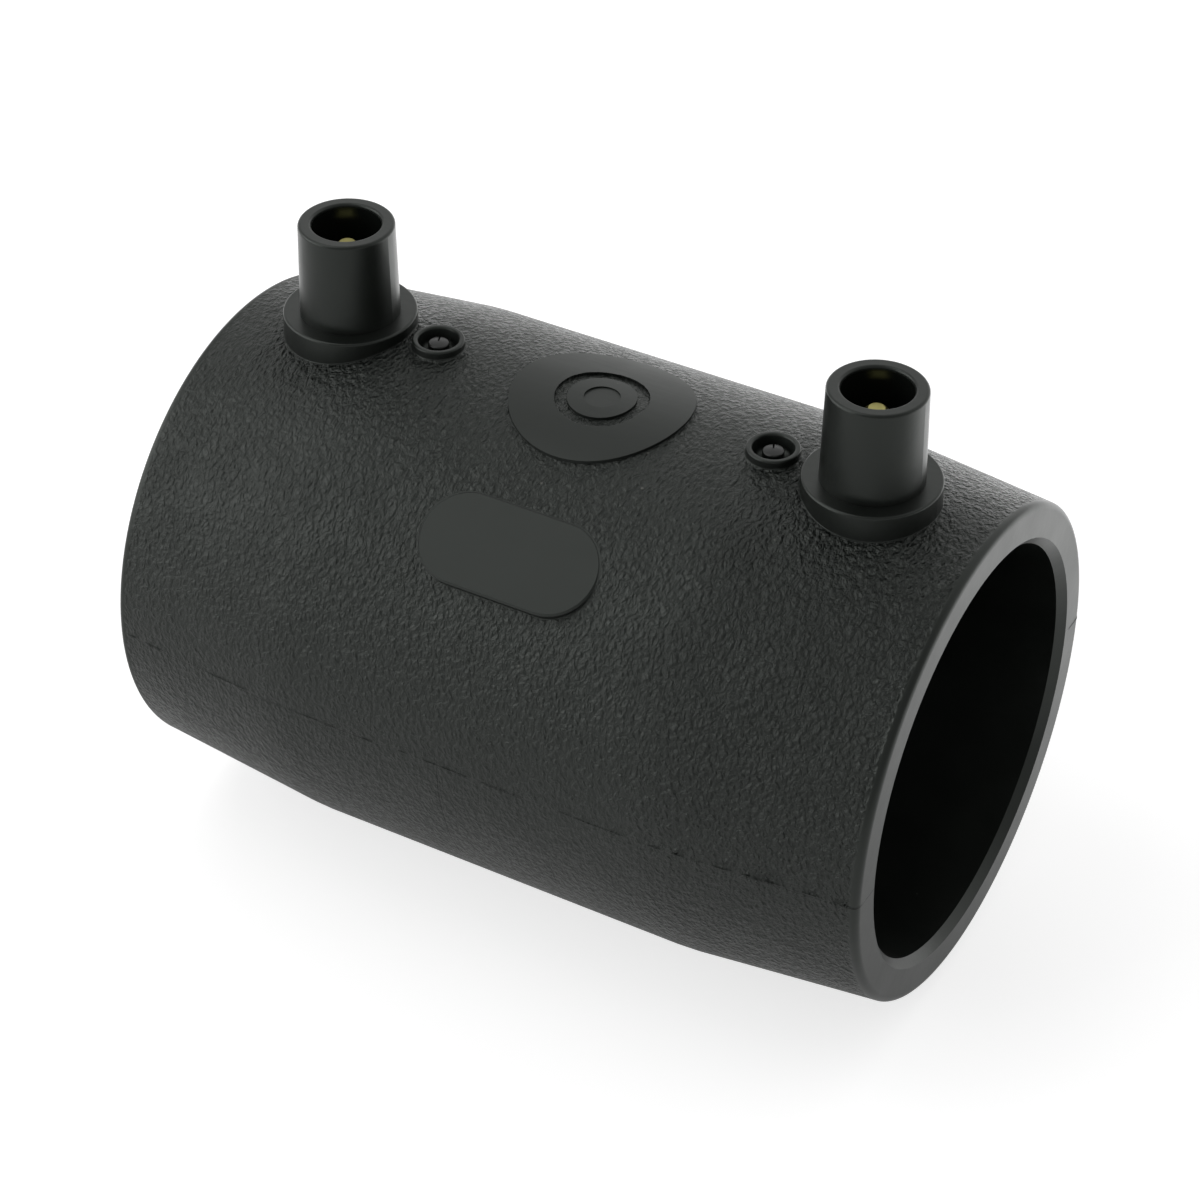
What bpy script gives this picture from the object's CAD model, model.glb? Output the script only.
# %% [markdown]
# # An electrofusion coupler, finished for its picture
# An electrofusion coupler joins two plastic pipes: both are pushed in, and a current through the wire
# in its wall melts the three together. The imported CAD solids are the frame: one black moulding, two
# brass pins, two fusion indicators and the heating wire. This script gives them their finishes, adds
# the forms that are too fine for the solids, and sets up the camera, the floor and the lights. All
# lengths are in metres.

from math import cos, radians, sin

import bmesh
import bpy
import numpy as np
from mathutils import Matrix, Vector


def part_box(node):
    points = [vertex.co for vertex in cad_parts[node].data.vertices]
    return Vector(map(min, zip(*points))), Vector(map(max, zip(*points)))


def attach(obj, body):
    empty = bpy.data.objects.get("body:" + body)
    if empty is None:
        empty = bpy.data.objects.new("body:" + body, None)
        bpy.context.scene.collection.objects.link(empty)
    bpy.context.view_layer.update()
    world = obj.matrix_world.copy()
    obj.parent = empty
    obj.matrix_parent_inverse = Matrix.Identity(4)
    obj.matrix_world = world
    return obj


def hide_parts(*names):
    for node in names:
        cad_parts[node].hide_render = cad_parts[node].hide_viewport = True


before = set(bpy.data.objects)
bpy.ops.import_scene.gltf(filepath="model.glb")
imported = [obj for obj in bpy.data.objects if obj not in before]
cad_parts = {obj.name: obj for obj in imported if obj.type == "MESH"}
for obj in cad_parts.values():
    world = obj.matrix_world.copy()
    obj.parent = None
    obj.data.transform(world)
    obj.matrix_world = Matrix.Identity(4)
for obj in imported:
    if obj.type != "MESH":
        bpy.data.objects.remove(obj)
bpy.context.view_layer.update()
print("nodes:", ", ".join(sorted(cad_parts)))

# %% [markdown]
# ## The sizes that the finishes need
# The barrel is turned about the X axis, and its terminals stand along +Z. Its overall sizes could be
# typed in again, but they would go stale when the solids change, so they come from the frame's boxes.
# The sizes below them are the moulding's own, which no box shows.

# %% Sizes
mm = 0.001

body_low, body_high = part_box("coupler_body")
pin_low, pin_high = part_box("terminal_pin_right")
nub_low, nub_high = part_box("fusion_indicator_right")

half_length = body_high.x
centre_r = -body_low.z
shroud_top = body_high.z
terminal_x = (pin_low.x + pin_high.x) / 2
pin_tip = pin_high.z
indicator_x = (nub_low.x + nub_high.x) / 2
nub_r = (nub_high.x - nub_low.x) / 2
nub_bottom, nub_top = nub_low.z, nub_high.z

centre_half = 32.0 * mm  # half of the parallel middle
end_r = 38.3 * mm  # outer radius at the end faces
end_edge = 1.0 * mm
socket_r = 31.85 * mm  # bore that takes the pipe
mouth_chamfer = 1.25 * mm

disc_r = 10.1 * mm  # base disc of a terminal
disc_top = 42.9 * mm
disc_edge = 0.35 * mm
shroud_foot_r = 7.55 * mm  # shroud round a terminal's pin
shroud_rim_r = 7.225 * mm
shroud_bore_r = 5.2 * mm
shroud_rim_edge = 0.45 * mm

ring_r = 3.95 * mm  # raised ring round an indicator
ring_top = 42.55 * mm
ring_lip = 0.85 * mm  # width of its flat top
ring_lip_edge = 0.3 * mm
cup_floor_r = 2.65 * mm
cup_floor = 40.15 * mm

badge_r = 13.7 * mm  # round pad on the crest
badge_ring_inner_r = 7.0 * mm
badge_hub_r = 5.15 * mm

plate_length = 28.8 * mm  # stadium-shaped pad on the front
plate_height = 14.2 * mm
plate_x = 0.3 * mm
plate_tilt = radians(37.0)
plate_drop = 3.2 * mm

print(f"barrel {half_length / mm * 2:.1f} mm long, {centre_r / mm * 2:.1f} mm over the middle")

# %% [markdown]
# ## Surfaces from a grid of points
# Every new piece is a grid of places: rows along one parameter and columns along the other, worked out
# as whole arrays. One helper joins neighbouring places into faces. It can close the grid round on
# itself in either direction, so that a ring has no seam. A second helper merges the points that meet
# at a pole, turns the faces outwards and says whether the piece is closed.


# %% A mesh from a grid of points
def grid_mesh(name, points, wrap_rows=False, wrap_columns=False):
    """Object whose faces join neighbouring points of a (rows, columns, 3) array of places."""
    rows, columns = points.shape[:2]
    row = np.arange(rows if wrap_rows else rows - 1)[:, None]
    column = np.arange(columns if wrap_columns else columns - 1)[None, :]
    next_row, next_column = (row + 1) % rows, (column + 1) % columns
    corners = [
        row * columns + column,
        next_row * columns + column,
        next_row * columns + next_column,
        row * columns + next_column,
    ]
    faces = np.stack([corner.ravel() for corner in corners], axis=1)
    mesh = bpy.data.meshes.new(name)
    mesh.from_pydata(points.reshape(-1, 3), [], faces)
    mesh.polygons.foreach_set("use_smooth", np.ones(len(faces), bool))
    piece = bpy.data.objects.new(name, mesh)
    bpy.context.scene.collection.objects.link(piece)
    return outward(piece)


def outward(piece, sharp_angle=radians(25)):
    """Merge the points of each pole, turn all faces outwards and say whether the piece is closed.
    Edges that turn by more than sharp_angle stay sharp, so that a rounding meets its neighbours flush."""
    work = bmesh.new()
    work.from_mesh(piece.data)
    bmesh.ops.remove_doubles(work, verts=work.verts, dist=1e-7)
    bmesh.ops.dissolve_degenerate(work, edges=work.edges, dist=1e-7)
    bmesh.ops.recalc_face_normals(work, faces=work.faces)
    closed = all(edge.is_manifold for edge in work.edges)
    work.to_mesh(piece.data)
    work.free()
    piece.data.set_sharp_from_angle(angle=sharp_angle)
    print(f"{piece.name}: {len(piece.data.polygons)} faces, {'closed' if closed else 'open'}")
    return piece


# %% [markdown]
# ## Rounded edges and the indicators' cups
# The solids break each small edge with a straight facet. The tool that moulded the real piece rounds
# it, and a rounding is what catches a thin line of light. A Bevel modifier can't round a packed
# solid, whose triangles are loose, so each edge gets a slim ring, whose section lies between the true
# arc and its chord, which is the facet. The arc touches both neighbouring faces, so the shading runs
# on without a step. The cup round each indicator has a sharp hollow corner in the solids and is
# rounded out on the real piece, so a ring fills that corner.


# %% Sections of a rounded edge and a filled corner
def edge_section(before, corner, after, leg, steps=12):
    """Closed section between an arc and its chord. The arc touches the lines corner-before and
    corner-after at the distance leg from the corner. Its radius is leg times the tangent of half the
    angle between the lines, and its centre lies on the line that halves that angle."""
    corner = np.array(corner, float)
    to_before = np.array(before, float) - corner
    to_after = np.array(after, float) - corner
    to_before /= np.linalg.norm(to_before)
    to_after /= np.linalg.norm(to_after)
    half_angle = np.arccos(to_before @ to_after) / 2
    radius = leg * np.tan(half_angle)
    halving = to_before + to_after
    centre = corner + halving / np.linalg.norm(halving) * leg / np.cos(half_angle)
    start = corner + to_before * leg - centre
    end = corner + to_after * leg - centre
    turn = np.arctan2(start[0] * end[1] - start[1] * end[0], start @ end)
    angle = np.arctan2(start[1], start[0]) + turn * np.linspace(0, 1, steps + 1)
    return centre + radius * np.stack([np.cos(angle), np.sin(angle)], axis=1)


def filled_corner(start, corner, end, steps=12):
    """Closed section that fills a hollow corner up to a curve from start to end. With t from 0 to 1
    the curve is (1 - t)^2 start + 2 t (1 - t) corner + t^2 end, which touches both sides."""
    t = np.linspace(0, 1, steps + 1)[:, None]
    start, corner, end = np.array(start), np.array(corner), np.array(end)
    curve = (1 - t) ** 2 * start + 2 * t * (1 - t) * corner + t**2 * end
    return np.vstack([curve, corner])


def turned_ring(name, section, axis_x=None, around=96):
    """A closed section turned full circle. Its points are (radius, height) about the upright axis at
    axis_x, or (radius, x) about the pipe axis where axis_x is None."""
    angle = np.linspace(0, 2 * np.pi, around, endpoint=False)[None, :]
    radius = section[:, 0][:, None]
    along = section[:, 1][:, None] + 0 * angle
    if axis_x is None:
        points = np.stack([along, radius * np.cos(angle), radius * np.sin(angle)], axis=2)
    else:
        points = np.stack([axis_x + radius * np.cos(angle), radius * np.sin(angle), along], axis=2)
    return grid_mesh(name, points, wrap_rows=True, wrap_columns=True)


# %% Rings of both ends, both terminals and both indicators
lip_inner_r = ring_r - ring_lip
disc_shoulder = (disc_r, disc_top)
foot = (shroud_foot_r, disc_top)
rim_outside = (shroud_rim_r, shroud_top)
rim_inside = (shroud_bore_r, shroud_top)
lip_outside = (ring_r, ring_top)
lip_inside = (lip_inner_r, ring_top)
cup_corner = (cup_floor_r, cup_floor)
bowl_rise = 0.4  # share of the cup's wall that the bowl reaches up
bowl_start = np.array(cup_corner) + bowl_rise * (np.array(lip_inside) - cup_corner)
bowl_end = (nub_r + 0.1 * mm, cup_floor)

terminal_sections = {
    "disc_edge": edge_section((disc_r, 0), disc_shoulder, foot, disc_edge),
    "shroud_rim_outside": edge_section(foot, rim_outside, rim_inside, shroud_rim_edge),
    "shroud_rim_inside": edge_section(rim_outside, rim_inside, (shroud_bore_r, 0), shroud_rim_edge),
}
indicator_sections = {
    "ring_lip_outside": edge_section((ring_r, 0), lip_outside, lip_inside, ring_lip_edge),
    "ring_lip_inside": edge_section(lip_outside, lip_inside, cup_corner, ring_lip_edge),
    "cup_bowl": filled_corner(bowl_start, cup_corner, bowl_end),
}
end_section = edge_section((centre_r, centre_half), (end_r, half_length), (socket_r, half_length), end_edge)

moulded_pieces = []
for side, word in ((-1, "left"), (1, "right")):
    moulded_pieces.append(turned_ring(f"end_edge_{word}", end_section * (1, side), around=320))
    for axis_x, sections in ((terminal_x, terminal_sections), (indicator_x, indicator_sections)):
        for part, section in sections.items():
            moulded_pieces.append(turned_ring(f"{part}_{word}", section, side * axis_x))

# %% [markdown]
# ## Where the discs and rings grow out of the barrel
# A base disc is an upright cylinder that comes out of a lying, tapered one. The mould has a small
# hollow rounding in the corner between them, which rises and falls round the disc, so it can't be
# turned from one section. The same quarter circle is instead lifted at each place by the height of
# the wall there. Its last row is sunk a little, so that no gap shows.


# %% Hollow corner on the curved wall
def wall_height(x, y):
    """Height of the barrel's wall over (x, y): its radius is straight over the middle and falls in a
    straight line to each end, and the height squared plus y squared is the radius squared."""
    radius = np.interp(np.abs(x), [centre_half, half_length], [centre_r, end_r])
    return np.sqrt(radius**2 - y**2)


def wall_fillet(name, axis_x, cylinder_r, width, around=144, steps=8):
    """Hollow quarter circle between an upright cylinder and the wall. At the angle a it stands
    width * (1 - sin a) out from the cylinder and width * (1 - cos a) above the wall."""
    sunk = 0.1 * mm
    a = np.linspace(0, np.pi / 2, steps + 1)
    out = np.append(width * (1 - np.sin(a)), -sunk)[:, None]
    up = np.append(width * (1 - np.cos(a)), -sunk)[:, None]
    angle = np.linspace(0, 2 * np.pi, around, endpoint=False)[None, :]
    x = axis_x + (cylinder_r + out) * np.cos(angle)
    y = (cylinder_r + out) * np.sin(angle)
    points = np.stack([x, y, wall_height(x, y) + up], axis=2)
    return grid_mesh(name, points, wrap_rows=True, wrap_columns=True)


disc_foot, ring_foot = 0.25 * mm, 0.4 * mm

for side, word in ((-1, "left"), (1, "right")):
    moulded_pieces.append(wall_fillet(f"disc_foot_{word}", side * terminal_x, disc_r, disc_foot))
    moulded_pieces.append(wall_fillet(f"ring_foot_{word}", side * indicator_x, ring_r, ring_foot))

# %% [markdown]
# ## Flash on the parting line
# The two halves of the mould meet in the plane of the pipe axis. Some plastic creeps between them and
# stands as a low, broken ridge along both sides and over the end faces. A bump in the material would
# not stand out from the outline, so the ridge is a mesh: a small section carried along the outline of
# the barrel. Slow noise makes its height come and go, as trimming does.

# %% The ridge along each side
rng = np.random.default_rng(7)
flash_width = 0.16 * mm
flash_height = 0.09 * mm
flash_root = 0.12 * mm  # how deep the ridge is sunk into the wall
flash_wander = 0.25 * mm  # how far it strays across the parting plane


def slow_noise(count, knots):
    """Values between 0 and 1 that drift between random heights at evenly spaced knots."""
    return np.interp(np.linspace(0, knots - 1, count), np.arange(knots), rng.random(knots))


def flash_ridge(name, side, count=900):
    """Ridge on the side of the barrel that faces side * Y: four places round the section, pushed out
    along the outline's normal and sideways along Z, narrowing to a point at both ends."""
    mouth = (socket_r + mouth_chamfer, half_length)
    half_outline = np.vstack([(centre_r, centre_half), end_section, mouth])
    outline = np.vstack([half_outline[::-1] * (1, -1), half_outline])
    lengths = np.append(0, np.cumsum(np.linalg.norm(np.diff(outline, axis=0), axis=1)))
    s = np.linspace(0, lengths[-1], count)
    radius = np.interp(s, lengths, outline[:, 0])
    x = np.interp(s, lengths, outline[:, 1])
    slope_r, slope_x = np.gradient(radius, s), np.gradient(x, s)
    height = flash_height * np.clip(2.2 * slow_noise(count, 90) - 0.7, 0, 1) - 0.02 * mm
    drift = flash_wander * (slow_noise(count, 24) - 0.5)
    fade = np.clip(np.minimum(s, lengths[-1] - s) / mm, 0, 1)
    across = flash_width * np.array([-0.5, -0.15, 0.15, 0.5])[None, :] * fade[:, None]
    up = np.stack([-flash_root + 0 * s, height, height, -flash_root + 0 * s], axis=1)
    up = np.where(fade[:, None] > 0, up, -flash_root)
    r = radius[:, None] + up * slope_x[:, None]
    points = np.stack([x[:, None] - up * slope_r[:, None], side * r, drift[:, None] + across], axis=2)
    return grid_mesh(name, points, wrap_columns=True)


for side, word in ((-1, "front"), (1, "back")):
    moulded_pieces.append(flash_ridge(f"flash_{word}", side))

# %% [markdown]
# ## Fusion indicators
# Each indicator is a pin whose head rises when the joint has melted. The head is a low dome with a
# short slot, and the CAD solid only has a flat head with a broken edge. The slot could be cut with a
# Boolean, but a grid takes it as a step in height. So the dome is a surface of radius and angle: a
# flat crown that falls to an upright side, less the slot. It runs down into the well as the solid
# does, and stands for it in the picture.

# %% Slotted domes
slot_width = 0.22 * mm
slot_length = 1.35 * mm
slot_depth = 0.35 * mm
slot_turn = radians(115.0)  # direction of the slot, from +X


def indicator_dome(name, axis_x):
    """The height over a radius r is the crown's top less crown * (r / nub_r) squared, and a quarter
    circle turns its edge into the upright side. The slot runs from the middle to one side."""
    crown, edge = 0.15 * mm, 0.3 * mm
    inner_r = nub_r - edge
    flat_r = np.linspace(0, inner_r, 30)
    bend = np.linspace(0, np.pi / 2, 9)[1:]
    radius = np.concatenate([flat_r, inner_r + edge * np.sin(bend), [nub_r, 0]])
    crown_height = nub_top - crown * (flat_r / inner_r) ** 2
    bend_height = crown_height[-1] - edge * (1 - np.cos(bend))
    height = np.concatenate([crown_height, bend_height, [nub_bottom, nub_bottom]])
    angle = np.linspace(0, 2 * np.pi, 120, endpoint=False)[None, :]
    along_slot = radius[:, None] * np.cos(angle - slot_turn)
    beside_slot = np.abs(radius[:, None] * np.sin(angle - slot_turn))
    in_slot = (beside_slot < slot_width / 2) & (along_slot > 0) & (along_slot < slot_length)
    in_slot &= (np.arange(len(radius)) < len(flat_r) + len(bend))[:, None]
    z = height[:, None] - slot_depth * in_slot
    points = np.stack([axis_x + radius[:, None] * np.cos(angle), radius[:, None] * np.sin(angle), z], axis=2)
    return grid_mesh(name, points, wrap_columns=True)


indicators = {}
for side, word in ((-1, "left"), (1, "right")):
    indicators[word] = indicator_dome(f"indicator_dome_{word}", side * indicator_x)

# %% [markdown]
# ## The camera
# The camera stands to the front right of the coupler and looks down at it through a long lens, which
# keeps the barrel's taper from looking like perspective. It could be placed by X, Y and Z, but its
# azimuth and elevation round the target say more plainly where it stands. It is rolled by a fraction
# of a degree.

# %% Camera
camera_azimuth = radians(29.486)  # from the front, towards +X
camera_elevation = radians(37.371)
camera_roll = radians(0.329)
camera_distance = 0.51297
camera_target = Vector((-0.00018, 0.0, 0.00436))

camera_data = bpy.data.cameras.new("camera")
camera_data.lens = 101.27
camera_data.sensor_width = 36.0
camera_data.clip_start = 0.01
camera = bpy.data.objects.new("camera", camera_data)
bpy.context.scene.collection.objects.link(camera)
level = cos(camera_elevation)
towards_camera = Vector((sin(camera_azimuth) * level, -cos(camera_azimuth) * level, sin(camera_elevation)))
aimed = towards_camera.to_track_quat("Z", "Y").to_matrix().to_4x4()
rolled = aimed @ Matrix.Rotation(camera_roll, 4, "Z")
camera.matrix_world = Matrix.Translation(camera_target + towards_camera * camera_distance) @ rolled
bpy.context.scene.camera = camera
print(f"camera {camera_distance:.3f} m from the target, {camera_data.lens:.0f} mm lens")

# %% [markdown]
# ## Small helpers for materials
# A material is a tree of nodes. It could be wired by hand in the shader editor, but a script can be
# read and changed. These helpers make a node and feed its inputs in one line each, so that a formula
# in the tree reads as a formula here.


# %% Node helpers
def feed(tree, socket, value):
    """Link an output to the input, or set the input's value."""
    if isinstance(value, bpy.types.NodeSocket):
        tree.links.new(value, socket)
    else:
        socket.default_value = value


def add_node(tree, kind, inputs, **settings):
    """New node of that kind with its settings made, and its inputs set or linked by name."""
    node = tree.nodes.new(f"ShaderNode{kind}")
    for name, value in settings.items():
        setattr(node, name, value)
    for name, value in inputs.items():
        feed(tree, node.inputs[name], value)
    return node


def calc(tree, operation, *values):
    """Output of a Math node with those values or links."""
    return add_node(tree, "Math", dict(enumerate(values)), operation=operation).outputs[0]


def product(tree, first, *others):
    """All the values multiplied."""
    for other in others:
        first = calc(tree, "MULTIPLY", first, other)
    return first


def with_shares(tree, start, *parts):
    """Start plus each value times its share."""
    for value, share in parts:
        start = calc(tree, "MULTIPLY_ADD", value, share, start)
    return start


def hypotenuse(tree, a, b):
    """Square root of a squared plus b squared."""
    return calc(tree, "SQRT", calc(tree, "MULTIPLY_ADD", a, a, calc(tree, "MULTIPLY", b, b)))


def mix_colour(tree, factor, first, second):
    """The first colour at factor 0 and the second at 1. The Mix node has several inputs called A and
    B, and its colours are the ones of type RGBA."""
    node = add_node(tree, "Mix", {"Factor": factor}, data_type="RGBA")
    colours = [socket for socket in node.inputs if socket.type == "RGBA"]
    feed(tree, colours[0], first)
    feed(tree, colours[1], second)
    return next(socket for socket in node.outputs if socket.type == "RGBA")


def ramp(tree, value, zero_at, one_at):
    """0 on one side, 1 on the other, and a smooth step from zero_at to one_at."""
    ends = {"Value": value, "From Min": zero_at, "From Max": one_at}
    return add_node(tree, "MapRange", ends, interpolation_type="SMOOTHSTEP").outputs["Result"]


def split(tree, vector):
    """The X, Y and Z of a vector."""
    return add_node(tree, "SeparateXYZ", {"Vector": vector}).outputs


def new_group(name, inputs, outputs):
    """Shader node group with named inputs (name: kind and default) and outputs (name: kind)."""
    group = bpy.data.node_groups.new(name, "ShaderNodeTree")
    for label, (kind, default) in inputs.items():
        socket = group.interface.new_socket(name=label, in_out="INPUT", socket_type=kind)
        if default is not None:
            socket.default_value = default
    for label, kind in outputs.items():
        group.interface.new_socket(name=label, in_out="OUTPUT", socket_type=kind)
    source = group.nodes.new("NodeGroupInput")
    sink = group.nodes.new("NodeGroupOutput")
    return group, source.outputs, sink.inputs


def place_group(tree, group, inputs):
    """The group as a node in another tree."""
    node = tree.nodes.new("ShaderNodeGroup")
    node.node_tree = group
    for name, value in inputs.items():
        feed(tree, node.inputs[name], value)
    return node.outputs


def new_material(name):
    """Empty material: its tree, its Principled shader's inputs and the place on the object."""
    material = bpy.data.materials.new(name)
    material.use_nodes = True
    tree = material.node_tree
    shader = tree.nodes["Principled BSDF"].inputs
    place = add_node(tree, "TexCoord", {}).outputs["Object"]
    return material, tree, shader, place


def count_nodes(name, tree):
    """Say how many nodes the tree has."""
    print(f"{name}: {len(tree.nodes)} nodes")


FLOAT, VECTOR = "NodeSocketFloat", "NodeSocketVector"
dust_colour = (0.12, 0.12, 0.11, 1)
plastic_ior = 1.51

# %% [markdown]
# ## Where the moulding is smooth
# The barrel is grained by the tool. The discs, shrouds, rings, pads, ends and sockets are polished.
# A painted mask would need an image. Which is which follows from the place alone, so one group works
# out the mask with distances to the terminals, the indicators, the pads and the ends. It is a group
# to keep the material's own tree short.


# %% Mask of the grained wall
def build_grained_wall():
    """Grained is 1 on the grained wall and 0 on each smooth zone. The plate's zone is a stadium: the
    distance to its middle line, measured along its own tilted face. Bore is 1 inside the shrouds."""
    group, source, sink = new_group(
        "grained_wall", {"Place": (VECTOR, None)}, {"Grained": FLOAT, "Bore": FLOAT}
    )
    x, y, z = split(group, source["Place"])
    across = calc(group, "ABSOLUTE", x)
    soft = 0.05 * mm

    def within(value, limit, blur=soft):
        return ramp(group, value, limit + blur, limit)

    on_top = ramp(group, z, 30 * mm, 31 * mm)
    from_terminal = hypotenuse(group, calc(group, "SUBTRACT", across, terminal_x), y)
    from_indicator = hypotenuse(group, calc(group, "SUBTRACT", across, indicator_x), y)
    from_middle = hypotenuse(group, x, y)
    from_axis = hypotenuse(group, y, z)
    badge_gap = within(from_middle, badge_ring_inner_r)
    badge_ring = calc(group, "MULTIPLY_ADD", badge_gap, -1.0, within(from_middle, badge_r))

    # down and out are the place turned by the plate's tilt, and beside is the distance past the
    # ends of its middle line
    down = with_shares(group, plate_drop, (z, sin(plate_tilt)), (y, cos(plate_tilt)))
    out = with_shares(group, 0.0, (y, -sin(plate_tilt)), (z, cos(plate_tilt)))
    beside = calc(group, "ABSOLUTE", calc(group, "SUBTRACT", x, plate_x))
    beside = calc(group, "MAXIMUM", calc(group, "SUBTRACT", beside, (plate_length - plate_height) / 2), 0.0)
    plate = within(hypotenuse(group, beside, down), plate_height / 2 + soft)

    zones = [
        product(group, on_top, within(from_terminal, disc_r + soft)),
        product(group, on_top, within(from_indicator, ring_r + soft)),
        product(group, on_top, badge_ring),
        product(group, on_top, within(from_middle, badge_hub_r)),
        product(group, ramp(group, out, 30 * mm, 31 * mm), plate),
        ramp(group, across, half_length - 1.8 * mm, half_length - 1.0 * mm),
        within(from_axis, socket_r + 1.8 * mm, 0.4 * mm),
    ]
    smooth = zones[0]
    for zone in zones[1:]:
        smooth = calc(group, "MAXIMUM", smooth, zone)
    group.links.new(calc(group, "SUBTRACT", 1.0, smooth), sink["Grained"])
    in_bore = within(from_terminal, shroud_bore_r + soft)
    below_rim = ramp(group, z, shroud_top - shroud_rim_edge, shroud_top - 2 * shroud_rim_edge)
    group.links.new(product(group, in_bore, below_rim, on_top), sink["Bore"])
    return group


grained_wall = build_grained_wall()
count_nodes("grained_wall", grained_wall)

# %% [markdown]
# ## The grain of the tool
# The tool is etched with a leather grain: low wormy ridges with pits between them, drawn out a little
# round the barrel. As real displacement it would need millions of faces, so it is a height for a Bump
# node. A cellular pattern gives the ridges and a fine noise frays them. The place is first carried
# onto a cylinder of one radius, so that the stretch goes round the barrel without a seam, and bent by
# a slow noise, so that no row of cells shows.


# %% Leather grain
def build_grain():
    """Height is about 0 on the whole, below it in the pits and above it on the ridges. Cell is the
    width of a ridge along the pipe, and a ridge is Stretch times as long round it. Pits is 1 in the
    pits and 0 outside them."""
    group, source, sink = new_group(
        "tool_grain",
        {"Place": (VECTOR, None), "Cell": (FLOAT, 0.8 * mm), "Stretch": (FLOAT, 1.4)},
        {"Height": FLOAT, "Pits": FLOAT},
    )
    x, y, z = split(group, source["Place"])
    length = product(group, source["Cell"], source["Stretch"])
    round_scale = calc(group, "DIVIDE", centre_r, product(group, hypotenuse(group, y, z), length))
    in_cells = {
        "X": calc(group, "DIVIDE", x, source["Cell"]),
        "Y": product(group, y, round_scale),
        "Z": product(group, z, round_scale),
    }
    straight = add_node(group, "CombineXYZ", in_cells).outputs[0]
    drift = add_node(group, "TexNoise", {"Vector": straight, "Scale": 0.6, "Detail": 1.0}).outputs["Color"]
    drifted = {0: drift, 1: (1.2, 1.2, 1.2), 2: straight}
    bent = add_node(group, "VectorMath", drifted, operation="MULTIPLY_ADD").outputs[0]
    rounded_cells = {"Vector": bent, "Scale": 1.0, "Smoothness": 0.7}
    cells = add_node(group, "TexVoronoi", rounded_cells, feature="SMOOTH_F1").outputs["Distance"]
    frayed = add_node(group, "TexNoise", {"Vector": bent, "Scale": 1.9, "Detail": 3.0}).outputs[0]
    mound = ramp(group, cells, 0.75, 0.1)
    height = with_shares(group, -0.6, (mound, 0.4), (frayed, 0.8))
    group.links.new(height, sink["Height"])
    group.links.new(ramp(group, height, 0.0, -0.16), sink["Pits"])
    return group


tool_grain = build_grain()
count_nodes("tool_grain", tool_grain)

# %% [markdown]
# ## Unevenness and dust, shared by several finishes
# No real surface has one gloss all over. Flow of the melt, handling and tarnish change it in slow
# patches and fine streaks, on the plastic and on the metal alike. Fine dust settles on what faces
# up. Each material could have its own noises, but then each would have to be set alone, so both
# effects are groups that put out a plain value, and each material uses them with its own amounts.


# %% Uneven gloss and settled dust
def build_unevenness():
    """Patches are slow and Streaks are fine, both about 0.5 and between 0 and 1. Size is the width of
    a patch, and a streak runs along X and is a twelfth of it wide."""
    group, source, sink = new_group(
        "unevenness",
        {"Place": (VECTOR, None), "Size": (FLOAT, 10 * mm)},
        {"Patches": FLOAT, "Streaks": FLOAT},
    )
    scale = calc(group, "DIVIDE", 1.0, source["Size"])
    patches = add_node(group, "TexNoise", {"Vector": source["Place"], "Scale": scale, "Detail": 3.0})
    narrowed = {0: source["Place"], 1: (1.5, 12.0, 12.0)}
    drawn_out = add_node(group, "VectorMath", narrowed, operation="MULTIPLY").outputs[0]
    streaks = add_node(group, "TexNoise", {"Vector": drawn_out, "Scale": scale, "Detail": 2.0})
    group.links.new(patches.outputs[0], sink["Patches"])
    group.links.new(streaks.outputs[0], sink["Streaks"])
    return group


def build_dust():
    """1 on a speck of dust and 0 between the specks. Specks is their number in a metre, and Amount
    is the share of the cells that hold one. Only what faces up holds dust."""
    group, source, sink = new_group(
        "settled_dust",
        {"Place": (VECTOR, None), "Specks": (FLOAT, 500.0), "Amount": (FLOAT, 0.1)},
        {"Dust": FLOAT},
    )
    speck = add_node(group, "TexVoronoi", {"Vector": source["Place"], "Scale": source["Specks"]})
    chosen = split(group, speck.outputs["Color"])[0]
    here = calc(group, "LESS_THAN", chosen, source["Amount"])
    spot = ramp(group, speck.outputs["Distance"], 0.12, 0.05)
    up = split(group, add_node(group, "NewGeometry", {}).outputs["Normal"])[2]
    group.links.new(product(group, here, spot, ramp(group, up, 0.2, 0.7)), sink["Dust"])
    return group


unevenness = build_unevenness()
settled_dust = build_dust()
count_nodes("unevenness", unevenness)
count_nodes("settled_dust", settled_dust)

# %% [markdown]
# ## Lines left by the mould
# Beside the flash runs the crease where the mould's halves meet. Below it, on the front, the melt
# met itself in two wavering cold lines down the belly. All are thin, dark and slightly sunk. They
# could be cut into a mesh, but they are shallower than the grain, so each is a mask: a distance to a
# line that a noise bends.


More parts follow.
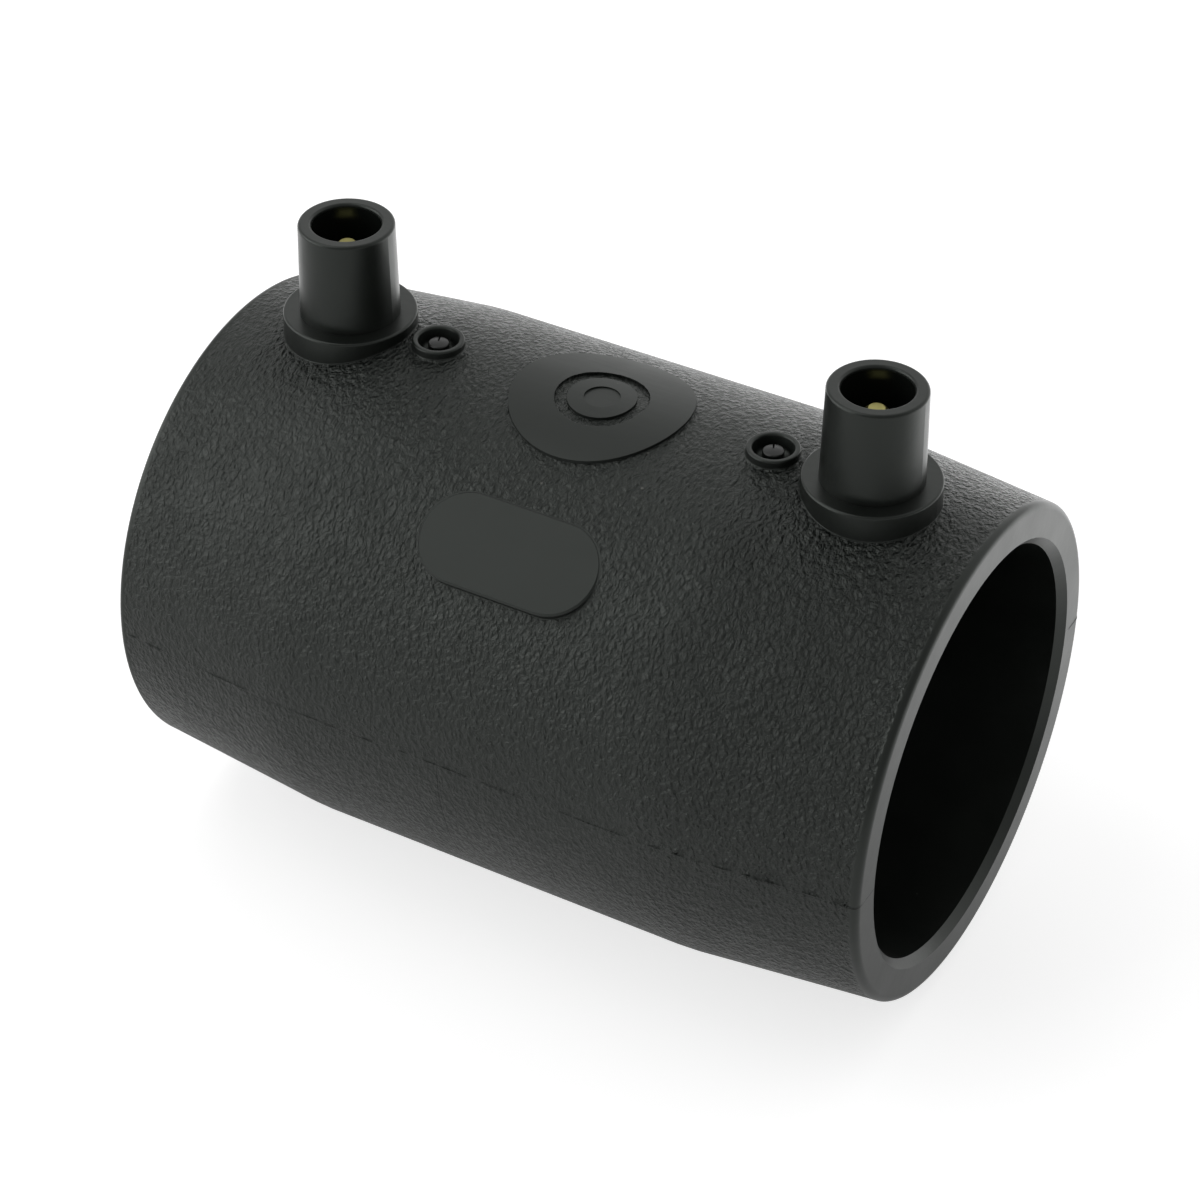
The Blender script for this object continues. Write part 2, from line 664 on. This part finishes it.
# %% Crease and cold lines
def build_mould_lines():
    """Line is 1 on a line and 0 beside it. A place is on a line where its offset from it is below
    the line's half width. One slow noise bends the lines and another breaks up the crease."""
    group, source, sink = new_group("mould_lines", {"Place": (VECTOR, None)}, {"Line": FLOAT})
    place = source["Place"]
    x, y, z = split(group, place)
    slow = add_node(group, "TexNoise", {"Vector": place, "Scale": 160.0, "Detail": 2.0}).outputs[0]
    strength = add_node(group, "TexNoise", {"Vector": place, "Scale": 110.0, "Detail": 1.0}).outputs[0]
    bend = with_shares(group, -0.45 * mm, (slow, 0.9 * mm))

    def line(offset, half_width):
        return ramp(group, calc(group, "ABSOLUTE", offset), half_width, 0.35 * half_width)

    def between(value, low, high, blur=0.8 * mm):
        above = ramp(group, value, low - blur, low + blur)
        return product(group, above, ramp(group, value, high + blur, high - blur))

    front = ramp(group, y, -10 * mm, -12 * mm)
    on_outside = ramp(group, calc(group, "ABSOLUTE", y), socket_r, socket_r + 0.5 * mm)
    crease_drop = 0.12 * mm
    crease_offset = with_shares(group, calc(group, "ADD", z, crease_drop), (bend, 0.4))
    broken = ramp(group, strength, 0.42, 0.58)
    crease = product(group, line(crease_offset, 0.13 * mm), on_outside, broken)

    def cold_line(line_x, half_width, low, high):
        offset = calc(group, "ADD", calc(group, "SUBTRACT", x, line_x), bend)
        return product(group, line(offset, half_width), between(z, low, high))

    long_line = cold_line(-3.7 * mm, 0.16 * mm, -21 * mm, -1 * mm)
    short_line = cold_line(14 * mm, 0.12 * mm, -18.5 * mm, -12.5 * mm)
    cold = product(group, calc(group, "MAXIMUM", long_line, short_line), front)
    group.links.new(calc(group, "MAXIMUM", crease, cold), sink["Line"])
    return group


mould_lines = build_mould_lines()
count_nodes("mould_lines", mould_lines)

# %% [markdown]
# ## Black polyethylene
# The plastic is filled with carbon black, so almost all the light that it sends back is reflected at
# its surface, and what tells its shape is gloss. A lighter base colour would fill the shadows, which
# are black on the real piece. The base colour is therefore nearly black, and the work is in the
# normal and the roughness: grain on the wall, more of it and glossier round the terminals and near
# the right end, faint waves and streaks on the smooth zones. The shrouds' bores are glossier still:
# they throw the light down to their floors instead of back up, and so they look black.


# %% Black polyethylene
def black_polyethylene():
    """Bump height: the grain times its depth on the grained wall, less the lines. Roughness: a plain
    value with a share for each of the masks. Colour: nearly black, paler where worn or dusty."""
    material, tree, shader, place = new_material("black_polyethylene")
    zones = place_group(tree, grained_wall, {"Place": place})
    grained = zones["Grained"]
    grain = place_group(tree, tool_grain, {"Place": place, "Cell": 0.75 * mm, "Stretch": 1.4})
    uneven = place_group(tree, unevenness, {"Place": place, "Size": 9 * mm})
    patches = uneven["Patches"]
    line = place_group(tree, mould_lines, {"Place": place})["Line"]
    dust = place_group(tree, settled_dust, {"Place": place, "Specks": 420.0, "Amount": 0.05})["Dust"]
    x, y, z = split(tree, place)

    # the grain is deeper round the terminals and on the right end
    past_terminal = calc(tree, "SUBTRACT", calc(tree, "ABSOLUTE", x), terminal_x)
    round_terminal = ramp(tree, hypotenuse(tree, past_terminal, y), 17 * mm, 10 * mm)
    near_terminal = product(tree, round_terminal, ramp(tree, z, 20 * mm, 30 * mm))
    deeper = calc(tree, "MAXIMUM", near_terminal, ramp(tree, x, 22 * mm, 36 * mm))
    depth = product(tree, with_shares(tree, 1.15, (deeper, 1.5)), with_shares(tree, 0.35, (patches, 1.0)))
    grain_height = product(tree, grain["Height"], grained, depth)
    height = with_shares(tree, grain_height, (patches, 0.2), (uneven["Streaks"], 0.02), (line, -0.5))
    bump = add_node(tree, "Bump", {"Strength": 1.0, "Distance": 0.42 * mm, "Height": height})
    feed(tree, shader["Normal"], bump.outputs["Normal"])

    # matt in the pits and on dust, glossy on the ridges and in the bores
    pits = product(tree, grain["Pits"], grained)
    matt = [(patches, 0.12), (pits, 0.1), (dust, 0.4)]
    glossy = [(grained, -0.06), (deeper, -0.06), (zones["Bore"], -0.2)]
    feed(tree, shader["Roughness"], with_shares(tree, 0.35, *matt, *glossy))

    fresh, worn, sunk = (0.0040, 0.0050, 0.0042, 1), (0.0090, 0.0105, 0.0092, 1), (0.002, 0.002, 0.002, 1)
    plastic = mix_colour(tree, product(tree, patches, 0.6), fresh, worn)
    lined = mix_colour(tree, line, plastic, sunk)
    feed(tree, shader["Base Color"], mix_colour(tree, dust, lined, dust_colour))
    feed(tree, shader["Specular Tint"], (0.93, 1.0, 0.94, 1))
    feed(tree, shader["IOR"], plastic_ior)
    count_nodes("black_polyethylene", tree)
    return material


# %% Material on the moulding and its fine pieces
def dress_node(name, material):
    """Give the CAD node that material in place of its own."""
    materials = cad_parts[name].data.materials
    materials.clear()
    materials.append(material)


polyethylene = black_polyethylene()
dress_node("coupler_body", polyethylene)
for piece in moulded_pieces:
    piece.data.materials.append(polyethylene)
    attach(piece, "root")
print(f"black_polyethylene is on the body and on {len(moulded_pieces)} fine pieces")

# %% [markdown]
# ## The indicators' plastic
# The indicators are made of the same kind of plastic in a mould of their own, so they have no grain,
# only streaks and a little dust. They could share the body's material, but its mask and its streaks
# are made for the barrel, so a short material of their own is simpler.


# %% Indicator polyethylene
def indicator_polyethylene():
    """Nearly black plastic whose roughness follows the patches, with fine streaks and dust."""
    material, tree, shader, place = new_material("indicator_polyethylene")
    uneven = place_group(tree, unevenness, {"Place": place, "Size": 2 * mm})
    dust = place_group(tree, settled_dust, {"Place": place, "Specks": 900.0, "Amount": 0.06})["Dust"]
    feed(tree, shader["Roughness"], with_shares(tree, 0.22, (uneven["Patches"], 0.14), (dust, 0.4)))
    bump = add_node(tree, "Bump", {"Distance": 0.01 * mm, "Height": uneven["Streaks"]})
    feed(tree, shader["Normal"], bump.outputs["Normal"])
    feed(tree, shader["Base Color"], mix_colour(tree, dust, (0.0060, 0.0068, 0.0060, 1), dust_colour))
    feed(tree, shader["IOR"], plastic_ior)
    count_nodes("indicator_polyethylene", tree)
    return material


indicator_plastic = indicator_polyethylene()
for word, dome in indicators.items():
    dome.data.materials.append(indicator_plastic)
    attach(dome, "root")
    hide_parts(f"fusion_indicator_{word}")

# %% [markdown]
# ## Brass pins and resistance wire
# A contact pin is turned from brass: the tool leaves fine rings round its axis, and the flanks dull
# while the tip stays bright. A picture of turned metal would need a UV map, so the rings follow the
# distance from the pin's own axis, and the flanks' tarnish follows the height below the tip. The wire
# is drawn, so its marks are the shared streaks.


# %% Turned brass
def turned_brass():
    """Bump height: the sine of the distance from the pin's axis plus the height, over the pitch of
    the turned rings. Colour and roughness go from bright to tarnished below the tip."""
    material, tree, shader, place = new_material("turned_brass")
    x, y, z = split(tree, place)
    uneven = place_group(tree, unevenness, {"Place": place, "Size": 1.5 * mm})
    radius = hypotenuse(tree, calc(tree, "SUBTRACT", calc(tree, "ABSOLUTE", x), terminal_x), y)
    ring_pitch = 0.12 * mm
    rings = calc(tree, "SINE", calc(tree, "MULTIPLY", calc(tree, "ADD", radius, z), 2 * np.pi / ring_pitch))
    bump = add_node(tree, "Bump", {"Distance": 0.004 * mm, "Height": rings})
    feed(tree, shader["Normal"], bump.outputs["Normal"])
    below_tip = ramp(tree, z, pin_tip - 0.3 * mm, pin_tip - 1.2 * mm)
    dull = with_shares(tree, below_tip, (uneven["Patches"], 0.3))
    bright, tarnished = (0.72, 0.66, 0.26, 1), (0.16, 0.12, 0.045, 1)
    feed(tree, shader["Base Color"], mix_colour(tree, dull, bright, tarnished))
    feed(tree, shader["Roughness"], with_shares(tree, 0.28, (dull, 0.25)))
    feed(tree, shader["Metallic"], 1.0)
    count_nodes("turned_brass", tree)
    return material


# %% Drawn resistance wire
def resistance_wire():
    """Copper-nickel metal, heated in patches and streaked by drawing."""
    material, tree, shader, place = new_material("resistance_wire")
    uneven = place_group(tree, unevenness, {"Place": place, "Size": 3 * mm})
    bright, heated = (0.62, 0.43, 0.30, 1), (0.42, 0.27, 0.18, 1)
    feed(tree, shader["Base Color"], mix_colour(tree, uneven["Patches"], bright, heated))
    feed(tree, shader["Roughness"], with_shares(tree, 0.2, (uneven["Streaks"], 0.3)))
    feed(tree, shader["Metallic"], 1.0)
    count_nodes("resistance_wire", tree)
    return material


brass = turned_brass()
dress_node("terminal_pin_left", brass)
dress_node("terminal_pin_right", brass)
dress_node("heating_wire", resistance_wire())
print("materials:", ", ".join(sorted(material.name for material in bpy.data.materials)))

# %% [markdown]
# ## The floor
# The coupler lies on a plain pale sweep. More light would make it white, but would wash out the
# object too. So the sweep's own paint is a light grey, and for what the camera or a glossy surface
# sees it glows a little, so that it reads as white round the soft shadow. It glows more behind the
# coupler, where a studio lights the sweep.

# %% Floor
floor_half = 3.0
floor_corners = np.array([(-1, -1, 0), (1, -1, 0), (1, 1, 0), (-1, 1, 0)]) * floor_half
floor_mesh = bpy.data.meshes.new("floor")
floor_mesh.from_pydata(floor_corners - (0, 0, centre_r), [], [range(4)])
floor = bpy.data.objects.new("floor", floor_mesh)
bpy.context.scene.collection.objects.link(floor)

# %% Floor paint
floor_paint, tree, shader, place = new_material("floor_paint")
feed(tree, shader["Base Color"], (0.6, 0.6, 0.6, 1))
feed(tree, shader["Roughness"], 1.0)
feed(tree, shader["Specular IOR Level"], 0.0)
feed(tree, shader["Emission Color"], (1, 1, 1, 1))
ray = add_node(tree, "LightPath", {}).outputs
behind = ramp(tree, split(tree, place)[1], -0.03, 0.16)
to_gloss = product(tree, ray["Is Glossy Ray"], with_shares(tree, 0.3, (behind, 1.1)))
to_camera = product(tree, ray["Is Camera Ray"], 0.7)
feed(tree, shader["Emission Strength"], calc(tree, "MAXIMUM", to_camera, to_gloss))
floor.data.materials.append(floor_paint)
count_nodes("floor_paint", tree)

# %% [markdown]
# ## Soft studio light
# The room is a dim, even grey that is brighter behind. Large soft boxes stand to the left, above and
# behind. A small lamp would show as a hard spot on each ridge of the grain. Black plastic shows the
# boxes as reflections, so their places draw the form: the left one ends where the barrel turns away
# to the right.


# %% World and lights
world = bpy.data.worlds.new("studio")
bpy.context.scene.world = world
world.use_nodes = True
tree = world.node_tree
direction = split(tree, add_node(tree, "TexCoord", {}).outputs["Generated"])
ray = add_node(tree, "LightPath", {}).outputs
room = with_shares(tree, 0.33, (ramp(tree, direction[1], -0.1, 0.6), 0.42))
feed(tree, tree.nodes["Background"].inputs["Color"], (1, 1, 1, 1))
feed(tree, tree.nodes["Background"].inputs["Strength"], calc(tree, "MAXIMUM", ray["Is Camera Ray"], room))


def softbox(name, place, width, height, strength):
    """Area light at place that faces the origin, with that strength over its face."""
    data = bpy.data.lights.new(name, "AREA")
    data.shape = "RECTANGLE"
    data.size = width
    data.size_y = height
    data.energy = strength * np.pi * width * height
    lamp = bpy.data.objects.new(name, data)
    bpy.context.scene.collection.objects.link(lamp)
    facing = Vector(place).to_track_quat("Z", "Y").to_matrix().to_4x4()
    lamp.matrix_world = Matrix.Translation(Vector(place)) @ facing
    print(f"{name}: {data.energy:.1f} W")


softbox("left_softbox", (-1.05, -0.68, 0.55), 1.6, 0.9, 1.9)
softbox("top_softbox", (-0.5, -0.2, 1.2), 0.8, 0.6, 1.5)
softbox("back_softbox", (-0.3, 1.3, 0.5), 1.6, 0.4, 0.45)

bpy.context.scene.view_settings.view_transform = "Standard"
